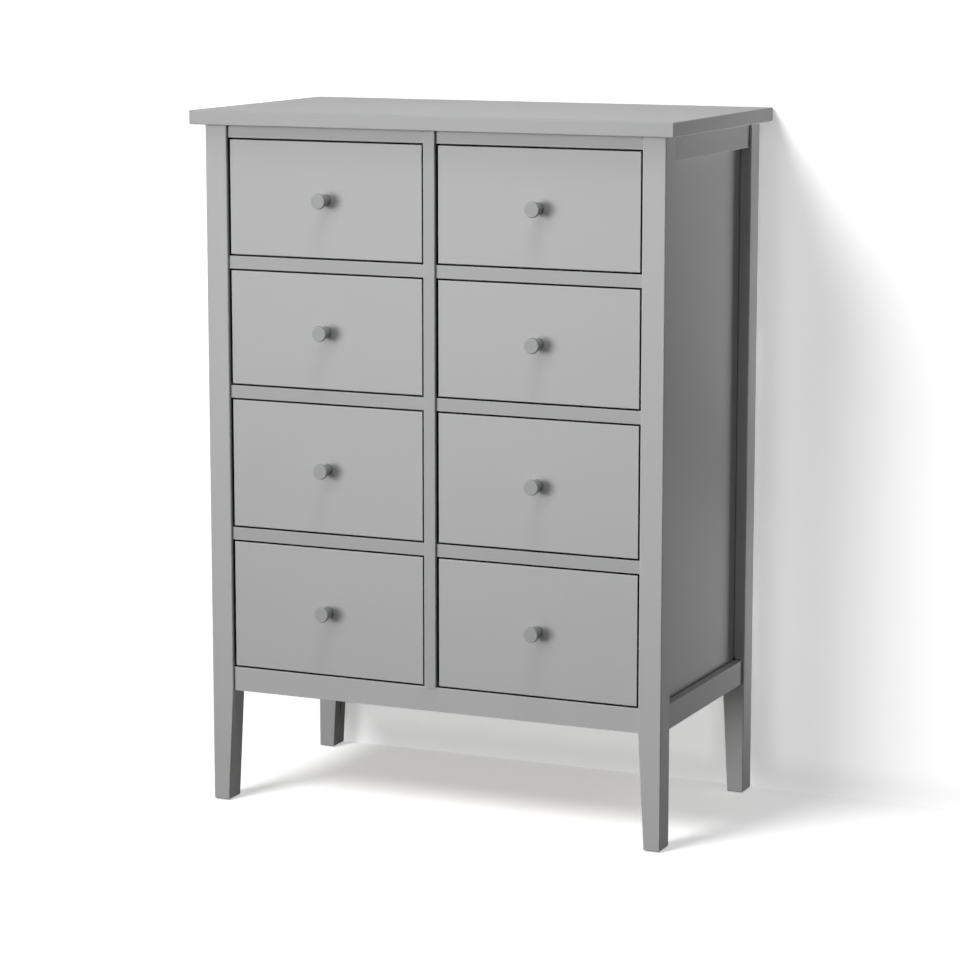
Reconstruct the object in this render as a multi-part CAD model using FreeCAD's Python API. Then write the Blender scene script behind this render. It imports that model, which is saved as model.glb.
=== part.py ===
import FreeCAD, Part
import math
import os

# Tall chest of eight drawers, two columns of four rows, on four tapered legs.
# Lengths are in millimetres. +Z is up, +X is to the right of a person facing the drawers, +Y is to the back.
# The origin is on the floor, under the middle of the whole chest with its knobs.

Vector = FreeCAD.Vector

# Case, measured over the posts
case_width = 832.0
case_depth = 450.0

# Posts, each in one length with a leg that tapers on its inner side
post_width = 40.0
post_depth = 42.0
leg_height = 196.0
foot_width = 29.0
knee_radius = 400.0
post_ease = 2.0

# Glides under the feet
glide_radius = 9.0
glide_thickness = 2.0

# Top board
top_thickness = 24.0
top_side_overhang = 20.0
top_front_overhang = 20.0
top_rear_overhang = 10.0
top_ease = 2.0

# Front frame: stile, rails and apron, with the rails behind the front of the posts
front_setback = 5.0
stile_width = 21.0
stile_ease = 1.5
rail_depth = 35.0
rail_ease = 1.0
top_rail_height = 22.0
drawer_rail_height = 22.0
apron_height = 42.0
apron_thickness = 20.0

# Side frames: rails behind the outer faces of the posts, and a panel in grooves
side_setback = 4.0
side_rail_height = 42.0
side_rail_thickness = 30.0
panel_recess = 20.0
panel_thickness = 8.0
panel_tongue = 8.0

# Back: a thin panel in the middle of the rear posts, with a rail at its top and its bottom
back_thickness = 4.0
back_tongue = 8.0
rear_rail_height = 42.0
rear_rail_thickness = 18.0

# Centre divider, as thick as the stile is wide, with its lower edge hidden behind the apron
divider_rise = 10.0

# Stub tenons on the ends of the rails and on the foot of the stile, in the middle of their section
tenon_length = 10.0
tenon_thickness_share = 0.45
tenon_height_share = 0.6
stile_tenon_share = 0.36

# Drawer fronts, top row first
upper_front_height = 194.0
lower_front_height = 219.0
front_thickness = 18.0
front_ease = 1.5
reveal_height = 2.75
side_reveal = 4.0

# Drawer boxes: sides and a back behind the front, and a bottom in grooves
side_thickness = 14.0
side_rise = 8.0
side_drop = 24.0
side_round = 3.0
lap_depth = 6.0
back_board_thickness = 12.0
back_board_drop = 6.0
bottom_thickness = 5.0
bottom_rise = 8.0
bottom_tongue = 6.0
box_rear_gap = 24.0

# Wooden runners in the grooves of the drawer sides
runner_height = 16.0
runner_engagement = 6.0
runner_end_gap = 2.0
running_clearance = 0.3
stop_gap = 1.0

# Turned knobs: a flared neck, a rounded rim and a flat face
knob_length = 28.0
knob_base_radius = 9.5
knob_head_radius = 13.5
knob_rim_thickness = 6.5
knob_rim_back_inset = 1.2
knob_rim_front_inset = 1.8
knob_neck_length_share = 0.55
knob_neck_flare_share = 0.15

# Clearance of panels and tenons where they fit in, overrun of every cut, and the least length that counts
groove_clearance = 0.2
cut_overrun = 5.0
least_length = 0.001

# Planes from the front to the back
front_reach = max(top_front_overhang, knob_length - front_setback)
rear_reach = case_depth + top_rear_overhang
post_front = (front_reach - rear_reach) / 2
rail_front = post_front + front_setback
frame_back = rail_front + apron_thickness
front_back = rail_front + front_thickness
post_rear = post_front + case_depth
rear_post_front = post_rear - post_depth
back_front = rear_post_front + (post_depth - back_thickness) / 2
rear_rail_front = back_front - rear_rail_thickness
box_rear = back_front - box_rear_gap

# Planes from the left to the middle: the right half mirrors the left half
post_outer = -case_width / 2
post_inner = post_outer + post_width
side_rail_outer = post_outer + side_setback
panel_outer = post_outer + panel_recess
stile_left = -stile_width / 2
front_left = post_inner + side_reveal
front_right = stile_left - side_reveal
front_middle = (front_left + front_right) / 2

# Heights of the case
foot_bottom = glide_thickness
apron_bottom = foot_bottom + leg_height
apron_top = apron_bottom + apron_height
row_heights = (upper_front_height, upper_front_height, lower_front_height, lower_front_height)


def stack_rows():
    """Lower edges of the drawer fronts and of the rails above them, top row first."""
    front_bottoms = []
    rail_bottoms = []
    height = apron_top
    for front_height in reversed(row_heights):
        front_bottoms.insert(0, height + reveal_height)
        rail_bottoms.insert(0, height + front_height + 2 * reveal_height)
        height = rail_bottoms[0] + drawer_rail_height
    return front_bottoms, rail_bottoms


front_bottoms, rail_bottoms = stack_rows()
case_top = rail_bottoms[0] + top_rail_height
lower_rail_top = apron_bottom + side_rail_height
upper_rail_bottom = case_top - side_rail_height
rear_lower_top = apron_bottom + rear_rail_height
rear_upper_bottom = case_top - rear_rail_height


def board(low, high):
    """A plain board between two opposite corners."""
    size = high - low
    return Part.makeBox(size.x, size.y, size.z, low)


def grown(low, high):
    """A board between two opposite corners, larger all round by the clearance of a fit."""
    step = Vector(groove_clearance, groove_clearance, groove_clearance)
    return board(low - step, high + step)


def middle_of(low, high, share):
    """The ends of the middle share of a stretch."""
    middle = (low + high) / 2
    half = (high - low) * share / 2
    return middle - half, middle + half


def profile(points, direction):
    """A closed outline of straight lines, extruded along a direction."""
    wire = Part.makePolygon(points + points[:1])
    return Part.Face(wire).extrude(direction)


def is_at(low, high, place):
    """Whether a stretch lies wholly at one place."""
    return abs(low - place) < least_length and abs(high - place) < least_length


def edges_in_front(shape, place):
    """Edges in the upright plane at a distance along Y."""
    return [edge for edge in shape.Edges if is_at(edge.BoundBox.YMin, edge.BoundBox.YMax, place)]


def eased(shape, edges, radius):
    """A shape with some of its edges rounded over."""
    return shape.makeFillet(radius, edges)


def mirrored(shape, place=0.0):
    """The mirror image of a shape across an upright plane that faces left and right."""
    return shape.mirror(Vector(place, 0, 0), Vector(1, 0, 0))


def front_tenons(right, bottom, height):
    """Corners of the bar whose ends are the tenons of a rail that starts at the left front post."""
    low_y, high_y = middle_of(rail_front, frame_back, tenon_thickness_share)
    low_z, high_z = middle_of(bottom, bottom + height, tenon_height_share)
    return Vector(post_inner - tenon_length, low_y, low_z), Vector(right, high_y, high_z)


def short_rail_tenons(bottom, height):
    """Corners of the bar of tenons in a rail from the left front post to the stile."""
    return front_tenons(stile_left + stile_width * stile_tenon_share, bottom, height)


def apron_tenons():
    """Corners of the bar of tenons in the apron, which runs from post to post."""
    return front_tenons(tenon_length - post_inner, apron_bottom, apron_height)


def side_tenons(upper):
    """Corners of the bar of tenons in a left side rail, clear of the panel and its groove."""
    tongue = panel_tongue + groove_clearance
    bottom = upper_rail_bottom + tongue if upper else apron_bottom
    top = case_top if upper else lower_rail_top - tongue
    low_x, high_x = middle_of(side_rail_outer, panel_outer - groove_clearance, tenon_thickness_share)
    low_z, high_z = middle_of(bottom, top, tenon_height_share)
    low = Vector(low_x, post_front + post_depth - tenon_length, low_z)
    return low, Vector(high_x, rear_post_front + tenon_length, high_z)


def rear_tenons(bottom):
    """Corners of the bar of tenons in a rear rail, which runs from post to post."""
    low_y, high_y = middle_of(rear_rail_front, back_front, tenon_thickness_share)
    low_z, high_z = middle_of(bottom, bottom + rear_rail_height, tenon_height_share)
    left = post_inner - tenon_length
    return Vector(left, low_y, low_z), Vector(-left, high_y, high_z)


def stile_tenon():
    """Corners of the tenon on the foot of the stile."""
    low_x, high_x = middle_of(stile_left, -stile_left, tenon_thickness_share)
    low_y, high_y = middle_of(rail_front, frame_back, tenon_thickness_share)
    return Vector(low_x, low_y, apron_top - tenon_length), Vector(high_x, high_y, apron_top)


def front_bars():
    """The bars of tenons in the short rails of the left half, top rail first."""
    bars = [short_rail_tenons(rail_bottoms[0], top_rail_height)]
    for bottom in rail_bottoms[1:]:
        bars.append(short_rail_tenons(bottom, drawer_rail_height))
    return bars


def with_tenons(shape, bar):
    """A rail joined to the bar whose ends stand out of it as tenons."""
    return shape.fuse(board(*bar)).removeSplitter()


def make_top():
    """Top board with all its edges eased."""
    low = Vector(post_outer - top_side_overhang, post_front - top_front_overhang, case_top)
    high = Vector(-low.x, post_rear + top_rear_overhang, case_top + top_thickness)
    shape = board(low, high)
    return eased(shape, shape.Edges, top_ease)


def post_outline(start):
    """Left post seen from the front: upright above the knee and leaning outwards below it."""
    outer_foot = Vector(post_outer, start, foot_bottom)
    inner_foot = Vector(post_outer + foot_width, start, foot_bottom)
    knee = Vector(post_inner, start, apron_bottom)
    inner_top = Vector(post_inner, start, case_top)
    outer_top = Vector(post_outer, start, case_top)
    down = (inner_foot - knee).normalize()
    up = Vector(0, 0, 1)
    half_bend = (math.pi - down.getAngle(up)) / 2
    bend_start = knee + down * (knee_radius * math.tan(half_bend))
    bend_end = knee + up * (knee_radius * math.tan(half_bend))
    inwards = (down + up).normalize()
    bend_middle = knee + inwards * (knee_radius / math.cos(half_bend) - knee_radius)
    edges = [
        Part.makeLine(outer_foot, inner_foot),
        Part.makeLine(inner_foot, bend_start),
        Part.Arc(bend_start, bend_middle, bend_end).toShape(),
        Part.makeLine(bend_end, inner_top),
        Part.makeLine(inner_top, outer_top),
        Part.makeLine(outer_top, outer_foot),
    ]
    return Part.Face(Part.Wire(edges))


def make_post(front):
    """Left post with eased long edges and foot, grooves for the panels and mortises for the rails."""
    start = post_front if front else rear_post_front
    shape = post_outline(start).extrude(Vector(0, post_depth, 0))
    across = [edge for edge in shape.Edges if edge.BoundBox.YLength < least_length]
    upright = [edge for edge in across if edge.BoundBox.ZLength > least_length]
    around_foot = [
        edge for edge in shape.Edges if is_at(edge.BoundBox.ZMin, edge.BoundBox.ZMax, foot_bottom)
    ]
    shape = eased(shape, upright + around_foot, post_ease)
    shape = shape.cut(side_groove(start, front))
    bars = [side_tenons(True), side_tenons(False)]
    if front:
        bars += front_bars() + [apron_tenons()]
    else:
        shape = shape.cut(back_groove())
        bars += [rear_tenons(apron_bottom), rear_tenons(rear_upper_bottom)]
    for bar in bars:
        shape = shape.cut(grown(*bar))
    return shape


def side_groove(start, front):
    """Groove in a left post for the edge of the side panel."""
    depth = panel_tongue + groove_clearance
    low_y = start + post_depth - depth if front else start - cut_overrun
    high_y = low_y + depth + cut_overrun
    low = Vector(panel_outer - groove_clearance, low_y, lower_rail_top - depth)
    high_x = panel_outer + panel_thickness + groove_clearance
    return board(low, Vector(high_x, high_y, upper_rail_bottom + depth))


def back_groove():
    """Groove down the whole of a rear left post for the edge of the back panel."""
    low_x = post_inner - back_tongue - groove_clearance
    low = Vector(low_x, back_front - groove_clearance, foot_bottom - cut_overrun)
    high_y = back_front + back_thickness + groove_clearance
    return board(low, Vector(post_inner + cut_overrun, high_y, case_top + cut_overrun))


def make_side_rail(upper):
    """Left side rail between the posts, with tenons, a groove for the panel and eased outer edges."""
    low_z = upper_rail_bottom if upper else apron_bottom
    low = Vector(side_rail_outer, post_front + post_depth, low_z)
    high = Vector(side_rail_outer + side_rail_thickness, rear_post_front, low_z + side_rail_height)
    shape = board(low, high)
    outer = [
        edge
        for edge in shape.Edges
        if is_at(edge.BoundBox.XMin, edge.BoundBox.XMax, side_rail_outer)
        and edge.BoundBox.YLength > least_length
    ]
    shape = eased(shape, outer, rail_ease)
    depth = panel_tongue + groove_clearance
    groove_z = low_z - cut_overrun if upper else low_z + side_rail_height - depth
    groove_low = Vector(panel_outer - groove_clearance, low.y - cut_overrun, groove_z)
    groove_high_x = panel_outer + panel_thickness + groove_clearance
    groove_high = Vector(groove_high_x, high.y + cut_overrun, groove_z + depth + cut_overrun)
    return with_tenons(shape.cut(board(groove_low, groove_high)), side_tenons(upper))


def make_side_panel():
    """Left side panel, with its edges in the grooves of the posts and rails."""
    low = Vector(panel_outer, post_front + post_depth - panel_tongue, lower_rail_top - panel_tongue)
    high_x = panel_outer + panel_thickness
    return board(low, Vector(high_x, rear_post_front + panel_tongue, upper_rail_bottom + panel_tongue))


def make_front_rail(right, bottom, height, depth, bar):
    """Rail of the front frame from the left post, with two long front edges eased and with tenons."""
    low = Vector(post_inner, rail_front, bottom)
    shape = board(low, Vector(right, rail_front + depth, bottom + height))
    long_edges = [edge for edge in edges_in_front(shape, rail_front) if edge.BoundBox.XLength > least_length]
    return with_tenons(eased(shape, long_edges, rail_ease), bar)


def make_apron():
    """Apron between the front posts, with a mortise for the foot of the stile."""
    shape = make_front_rail(-post_inner, apron_bottom, apron_height, apron_thickness, apron_tenons())
    return shape.cut(grown(*stile_tenon()))


def make_stile():
    """Centre stile, level with the front of the posts, from the apron to the top board."""
    low = Vector(stile_left, post_front, apron_top)
    shape = board(low, Vector(-stile_left, frame_back, case_top))
    long_edges = [edge for edge in edges_in_front(shape, post_front) if edge.BoundBox.ZLength > least_length]
    shape = with_tenons(eased(shape, long_edges, stile_ease), stile_tenon())
    for bar in front_bars():
        mortise = grown(*bar)
        shape = shape.cut(mortise).cut(mirrored(mortise))
    return shape


def make_divider():
    """Centre divider behind the stile, notched round the rear rails and closing against the back panel."""
    bottom = apron_bottom + divider_rise
    outline = [
        Vector(stile_left, frame_back, bottom),
        Vector(stile_left, rear_rail_front, bottom),
        Vector(stile_left, rear_rail_front, rear_lower_top),
        Vector(stile_left, back_front, rear_lower_top),
        Vector(stile_left, back_front, rear_upper_bottom),
        Vector(stile_left, rear_rail_front, rear_upper_bottom),
        Vector(stile_left, rear_rail_front, case_top),
        Vector(stile_left, frame_back, case_top),
    ]
    return profile(outline, Vector(stile_width, 0, 0))


def make_back_panel():
    """Back panel, held at its sides in the grooves of the rear posts."""
    left = post_inner - back_tongue
    low = Vector(left, back_front, apron_bottom)
    return board(low, Vector(-left, back_front + back_thickness, case_top))


def make_rear_rail(bottom):
    """Rail with tenons between the rear posts, in front of the back panel."""
    low = Vector(post_inner, rear_rail_front, bottom)
    shape = board(low, Vector(-post_inner, back_front, bottom + rear_rail_height))
    return with_tenons(shape, rear_tenons(bottom))


def make_glide(front):
    """Round glide under the middle of a left foot."""
    start = post_front if front else rear_post_front
    centre = Vector(post_outer + foot_width / 2, start + post_depth / 2, 0)
    return Part.makeCylinder(glide_radius, glide_thickness, centre)


def side_bounds(row):
    """Lower and upper edge of the drawer sides in a row."""
    front_top = front_bottoms[row] + row_heights[row]
    return front_bottoms[row] + side_rise, front_top - side_drop


def runner_bottom(row):
    """Lower face of the runners in a row, half way up the drawer sides."""
    low, high = side_bounds(row)
    return (low + high - runner_height) / 2


def make_runners(row):
    """Outer and inner runner of a left drawer, fixed to the posts and to the centre divider."""
    width = side_reveal + runner_engagement
    low_y = front_back + stop_gap
    low_z = runner_bottom(row)
    low = Vector(post_inner, low_y, low_z)
    outer = board(low, Vector(post_inner + width, back_front - runner_end_gap, low_z + runner_height))
    return [outer, mirrored(outer, front_middle)]


def make_front(row):
    """Left drawer front with eased front edges, and cut in its back for the bottom and for both sides."""
    bottom = front_bottoms[row]
    low = Vector(front_left, rail_front, bottom)
    shape = board(low, Vector(front_right, front_back, bottom + row_heights[row]))
    shape = eased(shape, edges_in_front(shape, rail_front), front_ease)
    reach = side_thickness - bottom_tongue - groove_clearance
    groove_z = bottom + side_rise + bottom_rise
    groove_low = Vector(
        front_left + reach, front_back - bottom_tongue - groove_clearance, groove_z - groove_clearance
    )
    groove_high = Vector(
        front_right - reach, front_back + cut_overrun, groove_z + bottom_thickness + groove_clearance
    )
    shape = shape.cut(board(groove_low, groove_high))
    side_low, side_high = side_bounds(row)
    lap_y = front_back - lap_depth - groove_clearance
    lap_right = front_left + side_thickness + groove_clearance
    lap_low = Vector(front_left - cut_overrun, lap_y, side_low - groove_clearance)
    lap = board(lap_low, Vector(lap_right, front_back + cut_overrun, side_high + groove_clearance))
    return shape.cut(lap).cut(mirrored(lap, front_middle))


def make_box(row):
    """Both sides of a left drawer, lapped into the front and grooved, and the back between them."""
    low, high = side_bounds(row)
    inner = front_left + side_thickness
    groove_in = inner - bottom_tongue - groove_clearance
    groove_low = low + bottom_rise - groove_clearance
    groove_high = low + bottom_rise + bottom_thickness + groove_clearance
    slot_in = front_left + runner_engagement + running_clearance
    slot_low = runner_bottom(row) - running_clearance
    slot_high = runner_bottom(row) + runner_height + running_clearance
    outline = [
        Vector(front_left, front_back, low),
        Vector(inner, front_back, low),
        Vector(inner, front_back, groove_low),
        Vector(groove_in, front_back, groove_low),
        Vector(groove_in, front_back, groove_high),
        Vector(inner, front_back, groove_high),
        Vector(inner, front_back, high),
        Vector(front_left, front_back, high),
    ]
    slot = [
        Vector(front_left, front_back, slot_high),
        Vector(slot_in, front_back, slot_high),
        Vector(slot_in, front_back, slot_low),
        Vector(front_left, front_back, slot_low),
    ]
    side = profile(outline + slot, Vector(0, box_rear - front_back, 0))
    top_edges = [
        edge
        for edge in side.Edges
        if is_at(edge.BoundBox.ZMin, edge.BoundBox.ZMax, high) and edge.BoundBox.YLength > least_length
    ]
    side = eased(side, top_edges, side_round)
    side = side.fuse(profile(outline, Vector(0, -lap_depth, 0))).removeSplitter()
    back_low = Vector(inner, box_rear - back_board_thickness, low + bottom_rise + bottom_thickness)
    back_right = front_right - side_thickness
    back = board(back_low, Vector(back_right, box_rear, high - back_board_drop))
    return [side, mirrored(side, front_middle), back]


def make_bottom(row):
    """Bottom of a left drawer, in the grooves of the front and sides and under the back."""
    reach = side_thickness - bottom_tongue
    low_z = front_bottoms[row] + side_rise + bottom_rise
    low = Vector(front_left + reach, front_back - bottom_tongue, low_z)
    return board(low, Vector(front_right - reach, box_rear, low_z + bottom_thickness))


def make_knob(row):
    """Turned knob in the middle of a left drawer front."""
    height = front_bottoms[row] + row_heights[row] / 2
    rim_back = knob_length - knob_rim_thickness
    neck_end_radius = knob_head_radius - knob_rim_back_inset
    flare = neck_end_radius - knob_base_radius
    face_radius = knob_head_radius - knob_rim_front_inset

    def point(radius, distance):
        return Vector(front_middle + radius, rail_front - distance, height)

    base_centre = point(0, 0)
    base_edge = point(knob_base_radius, 0)
    neck_radius = knob_base_radius + flare * knob_neck_flare_share
    neck_middle = point(neck_radius, rim_back * knob_neck_length_share)
    neck_end = point(neck_end_radius, rim_back)
    rim_middle = point(knob_head_radius, (rim_back + knob_length) / 2)
    face_edge = point(face_radius, knob_length)
    face_centre = point(0, knob_length)
    edges = [
        Part.makeLine(base_centre, base_edge),
        Part.Arc(base_edge, neck_middle, neck_end).toShape(),
        Part.Arc(neck_end, rim_middle, face_edge).toShape(),
        Part.makeLine(face_edge, face_centre),
        Part.makeLine(face_centre, base_centre),
    ]
    outline = Part.Face(Part.Wire(edges))
    return outline.revolve(base_centre, Vector(0, 1, 0), 360)


def save(node, solids):
    """Write the solids of one node to its file."""
    shape = solids[0] if len(solids) == 1 else Part.makeCompound(solids)
    shape.exportStep("parts/" + node + ".step")
    state = "valid" if shape.isValid() else "not valid"
    print(node, len(solids), "solids", round(shape.Volume), "mm3", state)


def save_pair(name, left_solids):
    """Write a left node and its mirror image on the right."""
    save("left_" + name, left_solids)
    save("right_" + name, [mirrored(solid) for solid in left_solids])


def save_case():
    """The fixed pieces of the chest."""
    save("top_panel", [make_top()])
    for place in ("front", "rear"):
        post = make_post(place == "front")
        save(place + "_left_post", [post])
        save(place + "_right_post", [mirrored(post)])
    save_pair("upper_side_rail", [make_side_rail(True)])
    save_pair("lower_side_rail", [make_side_rail(False)])
    save_pair("side_panel", [make_side_panel()])
    save("front_apron", [make_apron()])
    save("centre_stile", [make_stile()])
    save("centre_divider", [make_divider()])
    bars = front_bars()
    top_rail = make_front_rail(stile_left, rail_bottoms[0], top_rail_height, rail_depth, bars[0])
    save_pair("top_rail", [top_rail])
    for number, bottom in enumerate(rail_bottoms[1:], start=1):
        rail = make_front_rail(stile_left, bottom, drawer_rail_height, rail_depth, bars[number])
        save_pair("drawer_rail_" + str(number), [rail])
    save("back_panel", [make_back_panel()])
    save("rear_lower_rail", [make_rear_rail(apron_bottom)])
    save("rear_upper_rail", [make_rear_rail(rear_upper_bottom)])
    left_glides = [make_glide(True), make_glide(False)]
    save("floor_glides", left_glides + [mirrored(glide) for glide in left_glides])
    runners = []
    for row in range(len(row_heights)):
        runners.extend(make_runners(row))
    save_pair("runners", runners)


def save_drawers():
    """The eight drawers, each of a front, a box, a bottom and a knob."""
    for row in range(len(row_heights)):
        drawer = "drawer_" + str(row + 1)
        save_pair(drawer + "_front", [make_front(row)])
        save_pair(drawer + "_box", make_box(row))
        save_pair(drawer + "_bottom", [make_bottom(row)])
        save_pair(drawer + "_knob", [make_knob(row)])


os.makedirs("parts", exist_ok=True)
save_case()
save_drawers()
print("height", case_top + top_thickness)
print("front width", front_right - front_left, "box length", box_rear - front_back)
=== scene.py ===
# %% [markdown]
# A tall painted chest with eight drawers in two columns stands against a pale wall. Its shape is finished
# already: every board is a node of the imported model. This lesson gives the boards their paint and wood,
# adds the small fasteners, and sets up the floor, the wall, the light and the camera.

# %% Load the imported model
import math

import bpy
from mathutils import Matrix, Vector


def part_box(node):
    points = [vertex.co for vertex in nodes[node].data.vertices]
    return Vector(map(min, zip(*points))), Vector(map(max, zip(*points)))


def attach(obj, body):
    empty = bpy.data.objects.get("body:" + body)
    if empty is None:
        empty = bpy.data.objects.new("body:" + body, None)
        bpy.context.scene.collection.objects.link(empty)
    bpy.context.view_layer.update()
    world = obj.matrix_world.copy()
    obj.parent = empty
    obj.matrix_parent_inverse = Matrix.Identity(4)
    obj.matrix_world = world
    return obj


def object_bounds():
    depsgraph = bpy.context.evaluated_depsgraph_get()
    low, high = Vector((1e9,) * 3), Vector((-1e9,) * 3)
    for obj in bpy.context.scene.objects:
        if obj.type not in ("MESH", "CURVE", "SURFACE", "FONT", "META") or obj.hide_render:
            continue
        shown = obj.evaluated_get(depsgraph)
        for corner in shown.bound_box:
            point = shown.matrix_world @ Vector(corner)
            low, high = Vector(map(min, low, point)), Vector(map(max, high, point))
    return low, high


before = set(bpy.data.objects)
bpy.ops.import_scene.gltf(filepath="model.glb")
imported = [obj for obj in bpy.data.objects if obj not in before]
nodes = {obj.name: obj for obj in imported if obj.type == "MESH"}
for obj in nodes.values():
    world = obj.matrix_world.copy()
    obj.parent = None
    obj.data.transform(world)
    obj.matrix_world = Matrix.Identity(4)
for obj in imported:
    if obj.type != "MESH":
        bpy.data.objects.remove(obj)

cad_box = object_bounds()

# %% [markdown]
# The camera stands to the right of the chest, a little above its top, and looks down on it through a long
# lens. A long lens keeps the far edges nearly as large as the near ones, as in a catalogue picture. The
# lens is given as a focal length in pixels of a picture 960 wide, which Blender wants in millimetres.

# %% Camera
scene = bpy.context.scene
scene.view_settings.view_transform = "Standard"

QUARTER_TURN = math.pi / 2
PICTURE_WIDTH = 960
FOCAL_PIXELS = 3245.2
SENSOR_WIDTH = 36.0
CAMERA_PLACE = (2.2509, -5.0543, 1.5065)
CAMERA_TURN = math.radians(24.053)
CAMERA_DIP = math.radians(9.698)

bpy.ops.object.select_all(action="DESELECT")
bpy.ops.object.camera_add(location=CAMERA_PLACE, rotation=(QUARTER_TURN - CAMERA_DIP, 0, CAMERA_TURN))
camera = bpy.context.object
camera.name = "picture_camera"
camera.data.sensor_width = SENSOR_WIDTH
camera.data.lens = FOCAL_PIXELS / PICTURE_WIDTH * SENSOR_WIDTH
scene.camera = camera
print("lens", round(camera.data.lens, 2), "mm")

# %% [markdown]
# A finish is a tree of shader nodes. Wiring nodes by hand is slow to read, so one small class holds a
# socket and lets Python do the sums: writing a + b adds a Math node and joins both to it. Every other
# kind of node comes from its node method, with the settings first and then the sockets.

# %% Shader sums
class Value:
    """A socket of a shader tree that can be added, taken away and multiplied."""

    def __init__(self, tree, socket=None):
        self.tree = tree
        self.socket = socket

    def node(self, kind, settings=None, inputs=None, output=0):
        """Add a node, set it up, fill or join its sockets, and hold one of its outputs."""
        made = self.tree.nodes.new(kind)
        for name, setting in (settings or {}).items():
            setattr(made, name, setting)
        for name, value in (inputs or {}).items():
            if isinstance(value, Value):
                self.tree.links.new(value.socket, made.inputs[name])
            else:
                made.inputs[name].default_value = value
        return Value(self.tree, made.outputs[output])

    def sums(self, operation, first, second):
        """A Math node on two values or numbers."""
        return self.node("ShaderNodeMath", {"operation": operation}, {0: first, 1: second})

    def __add__(self, other):
        return self.sums("ADD", self, other)

    def __radd__(self, other):
        return self.sums("ADD", other, self)

    def __sub__(self, other):
        return self.sums("SUBTRACT", self, other)

    def __rsub__(self, other):
        return self.sums("SUBTRACT", other, self)

    def __mul__(self, other):
        return self.sums("MULTIPLY", self, other)

    def __rmul__(self, other):
        return self.sums("MULTIPLY", other, self)

    def feed(self, shader, name):
        """Join this value to a socket of a shader."""
        self.tree.links.new(self.socket, shader.inputs[name])


def new_finish(name):
    """A new material: where its sums start, and its shader."""
    material = bpy.data.materials.new(name)
    material.use_nodes = True
    return material, Value(material.node_tree), material.node_tree.nodes["Principled BSDF"]


print("shader sums ready")

# %% [markdown]
# The floor and the wall are plain and pale. They take the shadow of the chest, and they throw a little light
# back on it. What the camera sees of them is white with an even lift on top, so that they come out white
# where the lamps reach them, while the shadow stays. Near the floor the wall is lifted a little more, as a
# white floor would light it. Right beside the chest it is lifted less, because the chest keeps the light of
# the room off it. The wall has one face: from behind, the camera looks through it.

# %% Floor and wall finishes
WHITE = (1.0, 1.0, 1.0, 1)
STAGE_BOUNCE = (0.12, 0.12, 0.12, 1)
FLOOR_LIFT = 0.48
WALL_LIFT = 0.50
LOW_LIFT = 0.06
LOW_REACH = 0.7
CLOSE_REACH = 0.06
CLOSE_SAMPLES = 16


def blend(start, factor, first, second):
    """A colour between two colours."""
    inputs = {0: factor, 6: first, 7: second}
    return start.node("ShaderNodeMix", {"data_type": "RGBA"}, inputs, output=2)


def ramp(start, value, marks, ends):
    """A number that goes from one end to the other while a value goes from one mark to the other."""
    inputs = {"Value": value, "From Min": marks[0], "From Max": marks[1]}
    inputs.update({"To Min": ends[0], "To Max": ends[1]})
    return start.node("ShaderNodeMapRange", None, inputs)


def openness(start, reach, samples):
    """One on an open face, and less where something stands within reach of it."""
    return start.node("ShaderNodeAmbientOcclusion", {"samples": samples}, {"Distance": reach}, output="AO")


def object_place(start):
    """The place of a point on its piece."""
    return start.node("ShaderNodeTexCoord", output="Object")


def seen_directly(start):
    """One for rays from the camera, or from a mirror or glass that shows the background."""
    seen = start.node("ShaderNodeLightPath", output="Is Camera Ray")
    outputs = seen.socket.node.outputs
    mirrored = Value(start.tree, outputs["Is Glossy Ray"])
    through_glass = Value(start.tree, outputs["Is Transmission Ray"])
    return start.node("ShaderNodeClamp", None, {"Value": seen + mirrored + through_glass})


def close_by(start, level):
    """Up to a half where something stands close to the wall, and zero at the floor."""
    above_floor = ramp(start, level, (0.0, CLOSE_REACH), (0.0, 1.0))
    return (1 - openness(start, CLOSE_REACH, CLOSE_SAMPLES)) * above_floor


def stage_finish(name, lift, upright):
    """Matt white with a lift for the camera. Upright, the lift varies, and from behind it is clear."""
    material, start, shader = new_finish(name)
    start.tree.nodes.remove(shader)
    direct = seen_directly(start)
    colour = blend(start, direct, STAGE_BOUNCE, WHITE)
    matt = start.node("ShaderNodeBsdfDiffuse", None, {"Color": colour})
    strength = direct * lift
    if upright:
        level = start.node("ShaderNodeSeparateXYZ", None, {"Vector": object_place(start)}, output="Z")
        strength = strength * (1 - close_by(start, level))
        strength = strength + direct * ramp(start, level, (0.0, LOW_REACH), (LOW_LIFT, 0.0))
    glow = start.node("ShaderNodeEmission", None, {"Strength": strength})
    surface = start.node("ShaderNodeAddShader", None, {0: matt, 1: glow})
    if upright:
        behind = start.node("ShaderNodeNewGeometry", output="Backfacing")
        clear = start.node("ShaderNodeBsdfTransparent")
        surface = start.node("ShaderNodeMixShader", None, {0: behind, 1: surface, 2: clear})
    surface.feed(start.tree.nodes["Material Output"], "Surface")
    return material


floor_finish = stage_finish("pale_floor", FLOOR_LIFT, False)
wall_finish = stage_finish("pale_wall", WALL_LIFT, True)
print("stage finishes", floor_finish.name, wall_finish.name)

# %% [markdown]
# The floor is one plane. The wall is a plane turned upright, cut by four bisects and opened right behind
# the chest. The chest hides that opening from the front, and light from behind still reaches its back.

# %% Floor and wall
STAGE_SIZE = 12.0
WALL_GAP = 0.003
OPENING_SIDE = 0.40
OPENING_LOW = 0.20
OPENING_HIGH = 1.18

bpy.ops.object.select_all(action="DESELECT")
bpy.ops.mesh.primitive_plane_add(size=STAGE_SIZE)
floor = bpy.context.object
floor.name = "pale_floor"
floor.data.materials.append(floor_finish)

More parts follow.
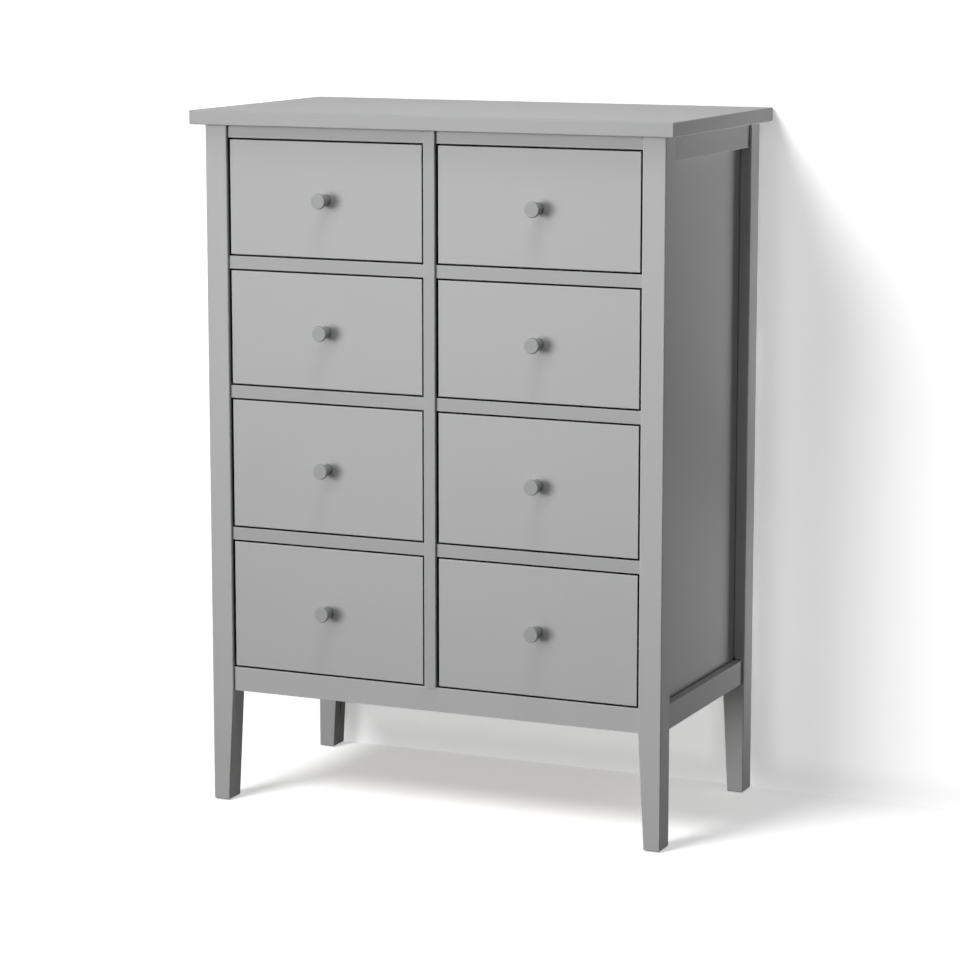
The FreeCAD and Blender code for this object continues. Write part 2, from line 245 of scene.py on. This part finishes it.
wall_place = cad_box[1].y + WALL_GAP
bpy.ops.object.select_all(action="DESELECT")
bpy.ops.mesh.primitive_plane_add(
    size=STAGE_SIZE, location=(0, wall_place, STAGE_SIZE / 2), rotation=(QUARTER_TURN, 0, 0)
)
wall = bpy.context.object
wall.name = "pale_wall"
wall.data.materials.append(wall_finish)
bpy.ops.object.transform_apply(location=True, rotation=True, scale=True)

cuts = [
    ((-OPENING_SIDE, 0, 0), (1, 0, 0)),
    ((OPENING_SIDE, 0, 0), (1, 0, 0)),
    ((0, 0, OPENING_LOW), (0, 0, 1)),
    ((0, 0, OPENING_HIGH), (0, 0, 1)),
]


def pick_faces(piece, wanted):
    """Go to edit mode with those faces of a piece selected that are wanted, and nothing else."""
    bpy.ops.object.mode_set(mode="EDIT")
    scene.tool_settings.mesh_select_mode = (False, False, True)
    bpy.ops.mesh.select_all(action="DESELECT")
    bpy.ops.object.mode_set(mode="OBJECT")
    for face in piece.data.polygons:
        face.select = wanted(face)
    bpy.ops.object.mode_set(mode="EDIT")


def behind_chest(face):
    """Whether the chest hides a face of the wall."""
    return abs(face.center.x) < OPENING_SIDE and OPENING_LOW < face.center.z < OPENING_HIGH


bpy.ops.object.mode_set(mode="EDIT")
for cut_place, cut_direction in cuts:
    bpy.ops.mesh.select_all(action="SELECT")
    bpy.ops.mesh.bisect(plane_co=cut_place, plane_no=cut_direction)
pick_faces(wall, behind_chest)
bpy.ops.mesh.delete(type="FACE")
bpy.ops.object.mode_set(mode="OBJECT")
wall.visible_shadow = False
print("wall faces", len(wall.data.polygons), "at", round(wall_place, 4))

# %% [markdown]
# A wide softbox stands level on the left and gives the front most of its light, so that the shade under the
# top stays faint. A round lamp hangs high on the left, and makes the top and the knobs throw soft shadows. A
# second lamp at the same place lights the floor and the wall alone, so that the shadow of the chest lies on
# white, and a weak one on the right lights the floor alone, so that the shadow is softer there. One more
# hangs over the top board. A real floor and wall throw light back on the side of the chest: two soft lamps,
# low behind it on the right, stand for that, and a wide one behind lights the back. Groups of pieces say
# what a lamp lights alone or leaves out. The world adds an even light from all sides, and is white where
# the camera sees it.

# %% Light
WORLD_STRENGTH = 0.13
HIGH_PLACE = (-1.8, -4.4, 4.75)
HIGH_TARGET = (0, 0, 0.6)
HIGH_SIZE = 2.4


def add_lamp(name, shape, place, target, width, height, power, spread=180):
    """An area lamp that the camera doesn't see."""
    bpy.ops.object.select_all(action="DESELECT")
    turn = (Vector(target) - Vector(place)).to_track_quat("-Z", "Y").to_euler()
    bpy.ops.object.light_add(type="AREA", location=place, rotation=turn)
    lamp = bpy.context.object
    lamp.name = name
    lamp.data.shape = shape
    lamp.data.size = width
    lamp.data.size_y = height
    lamp.data.energy = power
    lamp.data.spread = math.radians(spread)
    lamp.visible_camera = False
    return lamp


softbox = add_lamp(
    "softbox", "RECTANGLE", place=(-2.6, -5.2, 1.35), target=(0.6, -0.2, 1.05),
    width=3.2, height=2.4, power=29.5, spread=54
)
high_lamp = add_lamp("high_lamp", "DISK", HIGH_PLACE, HIGH_TARGET, HIGH_SIZE, HIGH_SIZE, power=50.0)
shadow_lamp = add_lamp("shadow_lamp", "DISK", HIGH_PLACE, HIGH_TARGET, HIGH_SIZE, HIGH_SIZE, power=260.0)
floor_lamp = add_lamp(
    "floor_lamp", "DISK", place=(2.6, -1.4, 2.6), target=(0.6, 0.1, 0),
    width=1.6, height=1.6, power=8.0
)
top_lamp = add_lamp(
    "top_lamp", "DISK", place=(0.3, -0.9, 3.3), target=(0.1, 0, 1.2),
    width=1.0, height=1.0, power=21.0
)
rear_high = add_lamp(
    "rear_lamp_high", "RECTANGLE", place=(0.82, 1.08, 0.18), target=(0.41, 0.3, 1.15),
    width=0.36, height=0.2, power=1.9, spread=52
)
rear_low = add_lamp(
    "rear_lamp_low", "RECTANGLE", place=(0.82, 1.03, 0.12), target=(0.41, 0.15, 0.42),
    width=0.36, height=0.2, power=1.15, spread=64
)
back_lamp = add_lamp(
    "back_lamp", "RECTANGLE", place=(-1.2, 3.2, 1.1), target=(0, 0.24, 0.7),
    width=2.0, height=1.6, power=72.0
)
for lamp in (rear_high, rear_low, back_lamp):
    lamp.visible_glossy = False
lamps = [softbox, high_lamp, shadow_lamp, floor_lamp, top_lamp, rear_high, rear_low, back_lamp]


def light_group(name, pieces, state):
    """A group of objects that a lamp lights alone, or leaves out."""
    group = bpy.data.collections.new(name)
    for piece in pieces:
        group.objects.link(piece)
    for member in group.collection_objects:
        member.light_linking.link_state = state
    return group


stage_alone = light_group("stage_alone", [floor, wall], "INCLUDE")
floor_alone = light_group("floor_alone", [floor], "INCLUDE")
stage_left_out = light_group("stage_left_out", [floor, wall], "EXCLUDE")
rear_left_out = light_group("rear_left_out", [floor, wall, nodes["back_panel"]], "EXCLUDE")
shadow_lamp.light_linking.receiver_collection = stage_alone
floor_lamp.light_linking.receiver_collection = floor_alone
for lamp in (softbox, top_lamp, back_lamp):
    lamp.light_linking.receiver_collection = stage_left_out
for lamp in (rear_high, rear_low):
    lamp.light_linking.receiver_collection = rear_left_out

world = bpy.data.worlds.new("studio")
scene.world = world
world.use_nodes = True
sky = Value(world.node_tree)
even = world.node_tree.nodes["Background"]
even.inputs["Color"].default_value = WHITE
even.inputs["Strength"].default_value = WORLD_STRENGTH
even_light = Value(sky.tree, even.outputs["Background"])
white_light = sky.node("ShaderNodeBackground", None, {"Color": WHITE, "Strength": 1.0})
light = sky.node("ShaderNodeMixShader", None, {0: seen_directly(sky), 1: even_light, 2: white_light})
light.feed(world.node_tree.nodes["World Output"], "Surface")
print("lamps", [(lamp.name, lamp.data.energy) for lamp in lamps], "world", WORLD_STRENGTH)

# %% [markdown]
# The chest is painted in a satin grey over solid wood. Sprayed paint has a fine stipple, it varies a
# little in tone over a board, and the grain underneath shows through as a faint lengthwise ripple. The
# grain follows the length of a board, so there is one finish for each direction. Along the eased edges the
# coat is made lighter: a painted highlight, where the edges would catch the light. In the narrow gaps round
# the drawers it is made nearly black: painted shade, where little light gets in.

# %% Paint
GREY = (0.447, 0.451, 0.449)
FRAME_GREY = (0.388, 0.392, 0.390)
KNOB_GREY = (0.338, 0.345, 0.342)
# Painted shade: the near-black colour that the narrow gaps take.
GAP_SHADE = (0.003, 0.003, 0.003, 1)
TONE_CHANGE = 0.045
CLOUD_SCALE = 3.5
CLOUD_SHARE = 0.6
GRAIN_SCALE = 140.0
GRAIN_SHARE = 0.3
GRAIN_STRETCH = 0.06
ALONG = {"x": (GRAIN_STRETCH, 1.0, 1.0), "y": (1.0, GRAIN_STRETCH, 1.0), "z": (1.0, 1.0, GRAIN_STRETCH)}
STIPPLE_SCALE = 620.0
STIPPLE_SHARE = 0.1
NOISE_ROUGH = 0.55
GAP_REACH = 0.007
GAP_SAMPLES = 12
GAP_CLOSED = 0.46
GAP_OPEN = 0.68
EDGE_REACH = 0.003
EDGE_SAMPLES = 6
EDGE_SHARP = 0.86
EDGE_FLAT = 0.99
EDGE_SHARE = 0.9
# Painted highlight: how much lighter the paint is made along the edges.
HIGHLIGHT_LIGHTER = 1.50
PAINT_ROUGH = 0.40
STIPPLE_ROUGH = 0.08
CLOUD_ROUGH = 0.06
STIPPLE_HEIGHT = 0.55
GRAIN_HEIGHT = 0.45
PAINT_BUMP = 0.12
PAINT_DEPTH = 0.0004
SPECULAR_LEVEL = 0.25


def noise(start, place, scale, detail):
    """Soft noise from zero to one."""
    inputs = {"Vector": place, "Scale": scale, "Detail": detail, "Roughness": NOISE_ROUGH}
    return start.node("ShaderNodeTexNoise", None, inputs)


def stretched(start, place, shares):
    """A place with each of its lengths multiplied by a share."""
    return start.node("ShaderNodeVectorMath", {"operation": "MULTIPLY"}, {0: place, 1: shares})


def shade(colour, share):
    """A colour made darker or lighter."""
    return tuple(channel * share for channel in colour) + (1,)


def add_bump(start, shader, height, strength, depth):
    """Give a shader a fine relief."""
    inputs = {"Height": height, "Strength": strength, "Distance": depth}
    start.node("ShaderNodeBump", None, inputs).feed(shader, "Normal")


def painted_gap_shade(start):
    """Where the gap shade is painted: one in a gap of a few millimetres, zero on an open face."""
    return ramp(start, openness(start, GAP_REACH, GAP_SAMPLES), (GAP_CLOSED, GAP_OPEN), (1.0, 0.0))


def edge_highlight(start):
    """Where the edge highlight is painted: one on a sharp or eased edge, zero on a flat face."""
    rounded = start.node("ShaderNodeBevel", {"samples": EDGE_SAMPLES}, {"Radius": EDGE_REACH})
    true = start.node("ShaderNodeNewGeometry", output="True Normal")
    inputs = {0: rounded, 1: true}
    facing = start.node("ShaderNodeVectorMath", {"operation": "DOT_PRODUCT"}, inputs, output="Value")
    return ramp(start, facing, (EDGE_SHARP, EDGE_FLAT), (1.0, 0.0))


def paint(name, colour, along):
    """Satin paint over wood whose grain runs along one axis."""
    material, start, shader = new_finish(name)
    place = object_place(start)
    cloud = noise(start, place, CLOUD_SCALE, detail=2.0)
    stipple = noise(start, place, STIPPLE_SCALE, detail=2.0)
    grain = noise(start, stretched(start, place, ALONG[along]), GRAIN_SCALE, detail=3.0)
    tone = cloud * CLOUD_SHARE + grain * GRAIN_SHARE + stipple * STIPPLE_SHARE
    coat = blend(start, tone, shade(colour, 1 - TONE_CHANGE), shade(colour, 1 + TONE_CHANGE))
    # Painted highlight: the eased edges are made lighter, where they would catch the light.
    highlighted = blend(start, edge_highlight(start) * EDGE_SHARE, coat, shade(colour, HIGHLIGHT_LIGHTER))
    # Painted shade: the paint turns nearly black in the narrow gaps, where little light gets in.
    blend(start, painted_gap_shade(start), highlighted, GAP_SHADE).feed(shader, "Base Color")
    (PAINT_ROUGH + stipple * STIPPLE_ROUGH + cloud * CLOUD_ROUGH).feed(shader, "Roughness")
    add_bump(start, shader, stipple * STIPPLE_HEIGHT + grain * GRAIN_HEIGHT, PAINT_BUMP, PAINT_DEPTH)
    shader.inputs["Specular IOR Level"].default_value = SPECULAR_LEVEL
    return material


paints = {along: paint("grey_paint_along_" + along, GREY, along) for along in ALONG}
frame_paints = {along: paint("frame_paint_along_" + along, FRAME_GREY, along) for along in ALONG}
knob_paint = paint("knob_paint", KNOB_GREY, "y")
print("paints", [made.name for made in (*paints.values(), *frame_paints.values(), knob_paint)])

# %% [markdown]
# Inside, the wood is bare. Growth rings show as soft bands along a board, with fine fibres between them.
# The rings are circles round a line that lies a hand's breadth outside the board and leans a little, and
# the board cuts through them as a saw does. How a board lies says which of its lengths the rings follow.

# %% Wood
PINE_DARK = (0.50, 0.345, 0.195, 1)
PINE_LIGHT = (0.70, 0.545, 0.36, 1)
BEECH_DARK = (0.46, 0.29, 0.17, 1)
BEECH_LIGHT = (0.60, 0.41, 0.26, 1)
PLY_DARK = (0.56, 0.41, 0.25, 1)
PLY_LIGHT = (0.68, 0.53, 0.355, 1)
RING_LINE = 0.05
RING_LEAN = 0.11
RING_WANDER = 0.05
WANDER_STRETCH = (1.2, 5.0, 5.0)
LATE_POWER = 3.0
LATE_SHARE = 0.55
FIBRE_STRETCH = (0.03, 1.0, 1.0)
FIBRE_SCALE = 900.0
FIBRE_SHARE = 0.45
FIBRE_ROUGH = 0.2
RING_SHARE = 0.8
WOOD_CLOUD_SCALE = 6.0
WOOD_CLOUD_SHARE = 0.2
FINE_BUMP = 0.2
FINE_DEPTH = 0.0003
SIDE_THICKNESS = 0.014

first_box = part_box("right_drawer_1_box")
inner_side = first_box[0][0] + SIDE_THICKNESS
outer_side = first_box[1][0] - SIDE_THICKNESS


def separate(start, place):
    """The three lengths of a place."""
    first = start.node("ShaderNodeSeparateXYZ", None, {"Vector": place}, output="X")
    outputs = first.socket.node.outputs
    return first, Value(start.tree, outputs["Y"]), Value(start.tree, outputs["Z"])


def combine(start, along, across, depth):
    """A place made of three lengths."""
    return start.node("ShaderNodeCombineXYZ", None, {"X": along, "Y": across, "Z": depth})


def wood_tone(start, board, ring_width):
    """From zero in the late wood of each ring to one in its early wood, and the fibres alone."""
    along, across, depth = separate(start, board)
    wander = noise(start, stretched(start, board, WANDER_STRETCH), scale=1.0, detail=2.0)
    lean = along * RING_LEAN + wander * RING_WANDER + depth
    off_line = combine(start, 0.0, across, lean + RING_LINE)
    radius = start.node("ShaderNodeVectorMath", {"operation": "LENGTH"}, {0: off_line}, output="Value")
    rings = start.node("ShaderNodeMath", {"operation": "FRACT"}, {0: radius * (1 / ring_width)})
    late = start.sums("POWER", rings, LATE_POWER)
    fibres = noise(start, stretched(start, board, FIBRE_STRETCH), FIBRE_SCALE, detail=3.0)
    return 1 - late * LATE_SHARE - fibres * FIBRE_SHARE, fibres


def wood(name, dark, light, turn, ring_width, rough):
    """Bare or lacquered wood. The turn picks which lengths of the place run along, across and through."""
    material, start, shader = new_finish(name)
    place = object_place(start)
    tone, fibres = wood_tone(start, turn(start, place), ring_width)
    cloud = noise(start, place, WOOD_CLOUD_SCALE, detail=2.0)
    blend(start, tone * RING_SHARE + cloud * WOOD_CLOUD_SHARE, dark, light).feed(shader, "Base Color")
    (rough + fibres * FIBRE_ROUGH).feed(shader, "Roughness")
    add_bump(start, shader, tone, FINE_BUMP, FINE_DEPTH)
    return material


def turn_upright(start, place):
    """A board that stands upright."""
    x, y, z = separate(start, place)
    return combine(start, z, y, x)


def turn_level(start, place):
    """A board on edge, from left to right."""
    x, y, z = separate(start, place)
    return combine(start, x, z, y)


def turn_flat(start, place):
    """A sheet that lies flat, from left to right."""
    x, y, z = separate(start, place)
    return combine(start, x, y, z)


def turn_deep(start, place):
    """A board on edge, from front to back."""
    x, y, z = separate(start, place)
    return combine(start, y, z, x)


def turn_box(start, place):
    """Drawer sides run from front to back, and the board between them from left to right."""
    x = separate(start, place)[0]
    off_centre = start.node("ShaderNodeMath", {"operation": "ABSOLUTE"}, {0: x})
    past_inner = start.sums("GREATER_THAN", off_centre, inner_side)
    before_outer = start.sums("LESS_THAN", off_centre, outer_side)
    crosswise = past_inner * before_outer
    inputs = {0: crosswise, 4: turn_deep(start, place), 5: turn_level(start, place)}
    return start.node("ShaderNodeMix", {"data_type": "VECTOR"}, inputs, output=1)


box_wood = wood("drawer_pine", PINE_DARK, PINE_LIGHT, turn_box, ring_width=0.0045, rough=0.35)
bottom_wood = wood("bottom_plywood", PLY_DARK, PLY_LIGHT, turn_flat, ring_width=0.011, rough=0.45)
divider_wood = wood("divider_pine", PINE_DARK, PINE_LIGHT, turn_upright, ring_width=0.005, rough=0.5)
rail_wood = wood("rear_rail_pine", PINE_DARK, PINE_LIGHT, turn_level, ring_width=0.005, rough=0.5)
runner_wood = wood("runner_beech", BEECH_DARK, BEECH_LIGHT, turn_deep, ring_width=0.0025, rough=0.35)
print("inside of the boxes from", round(inner_side, 4), "to", round(outer_side, 4))

# %% [markdown]
# The back is a thin pressed board with a thin coat of grey. It is duller than the front, and the pressed
# fibres show as a fine fleck. The glides under the feet are dark plastic with a fine moulded grain.

# %% Back board and glides
BACK_GREY = (0.37, 0.372, 0.37)
GLIDE_GREY = (0.035, 0.035, 0.037)
FLECK_SHARE = 0.7
FLECK_ROUGH = 0.2
FLECK_CLOUD_SCALE = 5.0
FLECK_CLOUD_SHARE = 0.3


def fleck_finish(name, colour, scale, contrast, rough):
    """A dull surface with a fine fleck."""
    material, start, shader = new_finish(name)
    place = object_place(start)
    fleck = noise(start, place, scale, detail=4.0)
    cloud = noise(start, place, FLECK_CLOUD_SCALE, detail=2.0)
    tone = fleck * FLECK_SHARE + cloud * FLECK_CLOUD_SHARE
    blend(start, tone, shade(colour, 1 - contrast), shade(colour, 1 + contrast)).feed(shader, "Base Color")
    (rough + fleck * FLECK_ROUGH).feed(shader, "Roughness")
    add_bump(start, shader, fleck, FINE_BUMP, FINE_DEPTH)
    return material


back_finish = fleck_finish("thin_back_paint", BACK_GREY, scale=260.0, contrast=0.10, rough=0.55)
glide_finish = fleck_finish("glide_plastic", GLIDE_GREY, scale=900.0, contrast=0.25, rough=0.4)
print("dull finishes", back_finish.name, glide_finish.name)

# %% [markdown]
# Each node gets its finish by its name. A painted board takes the paint whose grain runs along its longest
# side. Rails, the stile and the top board have a slightly darker coat than the fronts and the posts.

# %% Finishes on the nodes
named_finishes = {
    "back_panel": back_finish,
    "centre_divider": divider_wood,
    "rear_lower_rail": rail_wood,
    "rear_upper_rail": rail_wood,
    "left_runners": runner_wood,
    "right_runners": runner_wood,
    "floor_glides": glide_finish,
}
frame_endings = ("_rail", "_stile", "top_panel")
ended_finishes = {"_knob": knob_paint, "_box": box_wood, "_bottom": bottom_wood}


def finish_for(node):
    """The finish of a node."""
    if node in named_finishes:
        return named_finishes[node]
    for ending, finish in ended_finishes.items():
        if node.endswith(ending):
            return finish
    low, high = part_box(node)
    lengths = {axis: high[place] - low[place] for place, axis in enumerate("xyz")}
    coats = frame_paints if node.endswith(frame_endings) or "_rail_" in node else paints
    return coats[max(lengths, key=lengths.get)]


used = {}
for node, piece in nodes.items():
    finish = finish_for(node)
    for slot in piece.material_slots:
        slot.material = finish
    used[finish.name] = used.get(finish.name, 0) + 1
print("finishes", used)

# %% [markdown]
# The knob screws are zinc-plated steel and the pins of the back are blued. Both coats look even at arm's
# length. Close by they have a fine grain and duller spots, which change the colour and the gloss a little.

# %% Steel
ZINC_DARK = (0.40, 0.40, 0.39, 1)
ZINC_LIGHT = (0.62, 0.62, 0.60, 1)
BLUED_DARK = (0.045, 0.046, 0.052, 1)
BLUED_LIGHT = (0.11, 0.112, 0.122, 1)
PLATE_GRAIN_SCALE = 2600.0
PLATE_GRAIN_SHARE = 0.4
PLATE_GRAIN_ROUGH = 0.12
PLATE_SPOT_SCALE = 420.0
PLATE_SPOT_SHARE = 0.6
PLATE_SPOT_ROUGH = 0.16
PLATE_ROUGH = 0.28
PLATE_DEPTH = 0.00005


def plated_steel(name, dark, light):
    """Steel with a thin coat that has a fine grain and duller spots."""
    material, start, shader = new_finish(name)
    place = object_place(start)
    grain = noise(start, place, PLATE_GRAIN_SCALE, detail=3.0)
    spots = noise(start, place, PLATE_SPOT_SCALE, detail=2.0)
    tone = grain * PLATE_GRAIN_SHARE + spots * PLATE_SPOT_SHARE
    blend(start, tone, dark, light).feed(shader, "Base Color")
    (PLATE_ROUGH + grain * PLATE_GRAIN_ROUGH + spots * PLATE_SPOT_ROUGH).feed(shader, "Roughness")
    add_bump(start, shader, grain, FINE_BUMP, PLATE_DEPTH)
    shader.inputs["Metallic"].default_value = 1.0
    return material


zinc_finish = plated_steel("zinc_plated_steel", ZINC_DARK, ZINC_LIGHT)
blued_finish = plated_steel("blued_steel", BLUED_DARK, BLUED_LIGHT)
print("steel", zinc_finish.name, blued_finish.name)

# %% [markdown]
# One screw from inside each drawer holds its knob. A pan head presses a washer against the back of the
# front. The head could be spun from a profile. A cylinder is quicker: its end is inset, which leaves the
# washer as a ring, then extruded to the height of the head and bevelled round.

# %% Washer and screw head
WASHER_RADIUS = 0.006
WASHER_THICKNESS = 0.001
HEAD_RADIUS = 0.004
HEAD_HEIGHT = 0.0026
HEAD_ROUND = 0.0013
HEAD_SEGMENTS = 4
ROUND_SIDES = 24
SMOOTH_ANGLE = math.radians(35)
NEARLY_ONE = 0.99
DRAWER_ROWS = 4


def faces_rear(face):
    """Whether a face looks to the rear."""
    return face.normal.y > NEARLY_ONE


def add_disc(name, place, radius, thickness):
    """A disc that stands on the rear face of a board, with its place in its mesh."""
    bpy.ops.object.select_all(action="DESELECT")
    centre = Vector(place) + Vector((0, thickness / 2, 0))
    bpy.ops.mesh.primitive_cylinder_add(
        vertices=ROUND_SIDES, radius=radius, depth=thickness, location=centre, rotation=(-QUARTER_TURN, 0, 0)
    )
    disc = bpy.context.object
    disc.name = name
    bpy.ops.object.transform_apply(location=True, rotation=True, scale=True)
    return disc


def screw_place(drawer):
    """The middle of the rear face of a drawer's front."""
    low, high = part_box(drawer + "_front")
    return Vector(((low[0] + high[0]) / 2, high[1], (low[2] + high[2]) / 2))


drawers = [side + "_drawer_" + str(row + 1) for side in ("left", "right") for row in range(DRAWER_ROWS)]
first_place = screw_place(drawers[0])
first_screw = add_disc(drawers[0] + "_knob_screw", first_place, WASHER_RADIUS, WASHER_THICKNESS)
pick_faces(first_screw, faces_rear)
bpy.ops.mesh.inset(thickness=WASHER_RADIUS - HEAD_RADIUS, depth=0)
bpy.ops.mesh.extrude_region_move(TRANSFORM_OT_translate={"value": (0, HEAD_HEIGHT, 0)})
bpy.ops.mesh.bevel(offset=HEAD_ROUND, segments=HEAD_SEGMENTS, affect="EDGES")
bpy.ops.object.mode_set(mode="OBJECT")
first_screw.data.materials.append(zinc_finish)
print("screw faces", len(first_screw.data.polygons))

# %% [markdown]
# A cross for the screwdriver is cut into the head with two thin cutters. Each is a box that a Boolean
# modifier takes away, and that is deleted afterwards.

# %% Cross in the screw head
CROSS_LENGTH = 0.0044
CROSS_WIDTH = 0.0009
CROSS_DEPTH = 0.0014


def select_alone(pieces):
    """Select some pieces and nothing else, with the last of them active."""
    bpy.ops.object.select_all(action="DESELECT")
    for piece in pieces:
        piece.select_set(True)
    bpy.context.view_layer.objects.active = pieces[-1]


head_top = first_place + Vector((0, WASHER_THICKNESS + HEAD_HEIGHT, 0))
for width, height in ((CROSS_LENGTH, CROSS_WIDTH), (CROSS_WIDTH, CROSS_LENGTH)):
    bpy.ops.object.select_all(action="DESELECT")
    bpy.ops.mesh.primitive_cube_add(size=1, location=head_top, scale=(width, 2 * CROSS_DEPTH, height))
    cutter = bpy.context.object
    bpy.ops.object.transform_apply(location=True, rotation=True, scale=True)
    select_alone([first_screw])
    cross = first_screw.modifiers.new("cross", "BOOLEAN")
    cross.operation = "DIFFERENCE"
    cross.object = cutter
    bpy.ops.object.modifier_apply(modifier=cross.name)
    bpy.data.objects.remove(cutter)
bpy.ops.object.shade_smooth_by_angle(angle=SMOOTH_ANGLE)
print("screw faces with its cross", len(first_screw.data.polygons))

# %% [markdown]
# The finished screw is copied into the other seven drawers. Every copy has a mesh of its own, moved to its
# place, and rides on its drawer.

# %% Knob screws in their drawers
def copy_to(piece, name, shift):
    """A copy of a piece with a mesh of its own, moved by a shift that stays in the mesh."""
    select_alone([piece])
    bpy.ops.object.duplicate(linked=False)
    copy = bpy.context.object
    copy.name = name
    bpy.ops.transform.translate(value=shift)
    bpy.ops.object.transform_apply(location=True, rotation=True, scale=True)
    return copy


screws = {drawers[0]: first_screw}
for drawer in drawers[1:]:
    screws[drawer] = copy_to(first_screw, drawer + "_knob_screw", screw_place(drawer) - first_place)
for drawer, screw in screws.items():
    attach(screw, drawer)
print("knob screws", len(screws))

# %% [markdown]
# The thin back is pinned to the rails at its head and foot, and to the divider in the middle. A pin shows
# only its head, a small disc with a domed face that is driven nearly flush. Pins are driven by hand, so each
# stands a little off its line. One is modelled, and its copies are joined to it as one piece.

# %% Back pins
PIN_RADIUS = 0.0024
PIN_HEIGHT = 0.0006
PIN_ROUND = 0.0004
PIN_SEGMENTS = 2
PIN_FACE = 0.0008
PIN_END = 0.05
PIN_WANDER = 0.0015
SIDEWAYS_TURN = 3
UPWARDS_TURN = 5
RAIL_PINS = 8
DIVIDER_PINS = 6


def spaced(first, last, count):
    """Places at even steps from the first to the last."""
    return [first + (last - first) * step / (count - 1) for step in range(count)]


def middle_of(node, axis):
    """The middle of a node along an axis."""
    low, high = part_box(node)
    return (low[axis] + high[axis]) / 2


rail_low, rail_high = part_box("rear_lower_rail")
foot, head = middle_of("rear_lower_rail", 2), middle_of("rear_upper_rail", 2)
back_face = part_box("back_panel")[1][1]
across = spaced(rail_low[0] + PIN_END, rail_high[0] - PIN_END, RAIL_PINS)
upwards = spaced(foot, head, DIVIDER_PINS + 2)[1:-1]
line = [(x, foot) for x in across] + [(x, head) for x in across]
line += [(middle_of("centre_divider", 0), z) for z in upwards]
pin_places = []
for step, (x, z) in enumerate(line):
    sideways = PIN_WANDER * math.sin(SIDEWAYS_TURN * step)
    lengthwise = PIN_WANDER * math.cos(UPWARDS_TURN * step)
    pin_places.append(Vector((x + sideways, back_face, z + lengthwise)))

back_pins = add_disc("back_pins", pin_places[0], PIN_RADIUS, PIN_HEIGHT)
pick_faces(back_pins, faces_rear)
bpy.ops.mesh.bevel(offset=PIN_ROUND, segments=PIN_SEGMENTS, affect="EDGES")
pick_faces(back_pins, faces_rear)
bpy.ops.mesh.inset(thickness=PIN_FACE, depth=PIN_ROUND / 2)
bpy.ops.object.mode_set(mode="OBJECT")
bpy.ops.object.shade_smooth_by_angle(angle=SMOOTH_ANGLE)
back_pins.data.materials.append(blued_finish)
pins = [copy_to(back_pins, "back_pin", place - pin_places[0]) for place in pin_places[1:]]
select_alone(pins + [back_pins])
bpy.ops.object.join()
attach(back_pins, "case")
print("back pins", len(pin_places), "faces", len(back_pins.data.polygons))
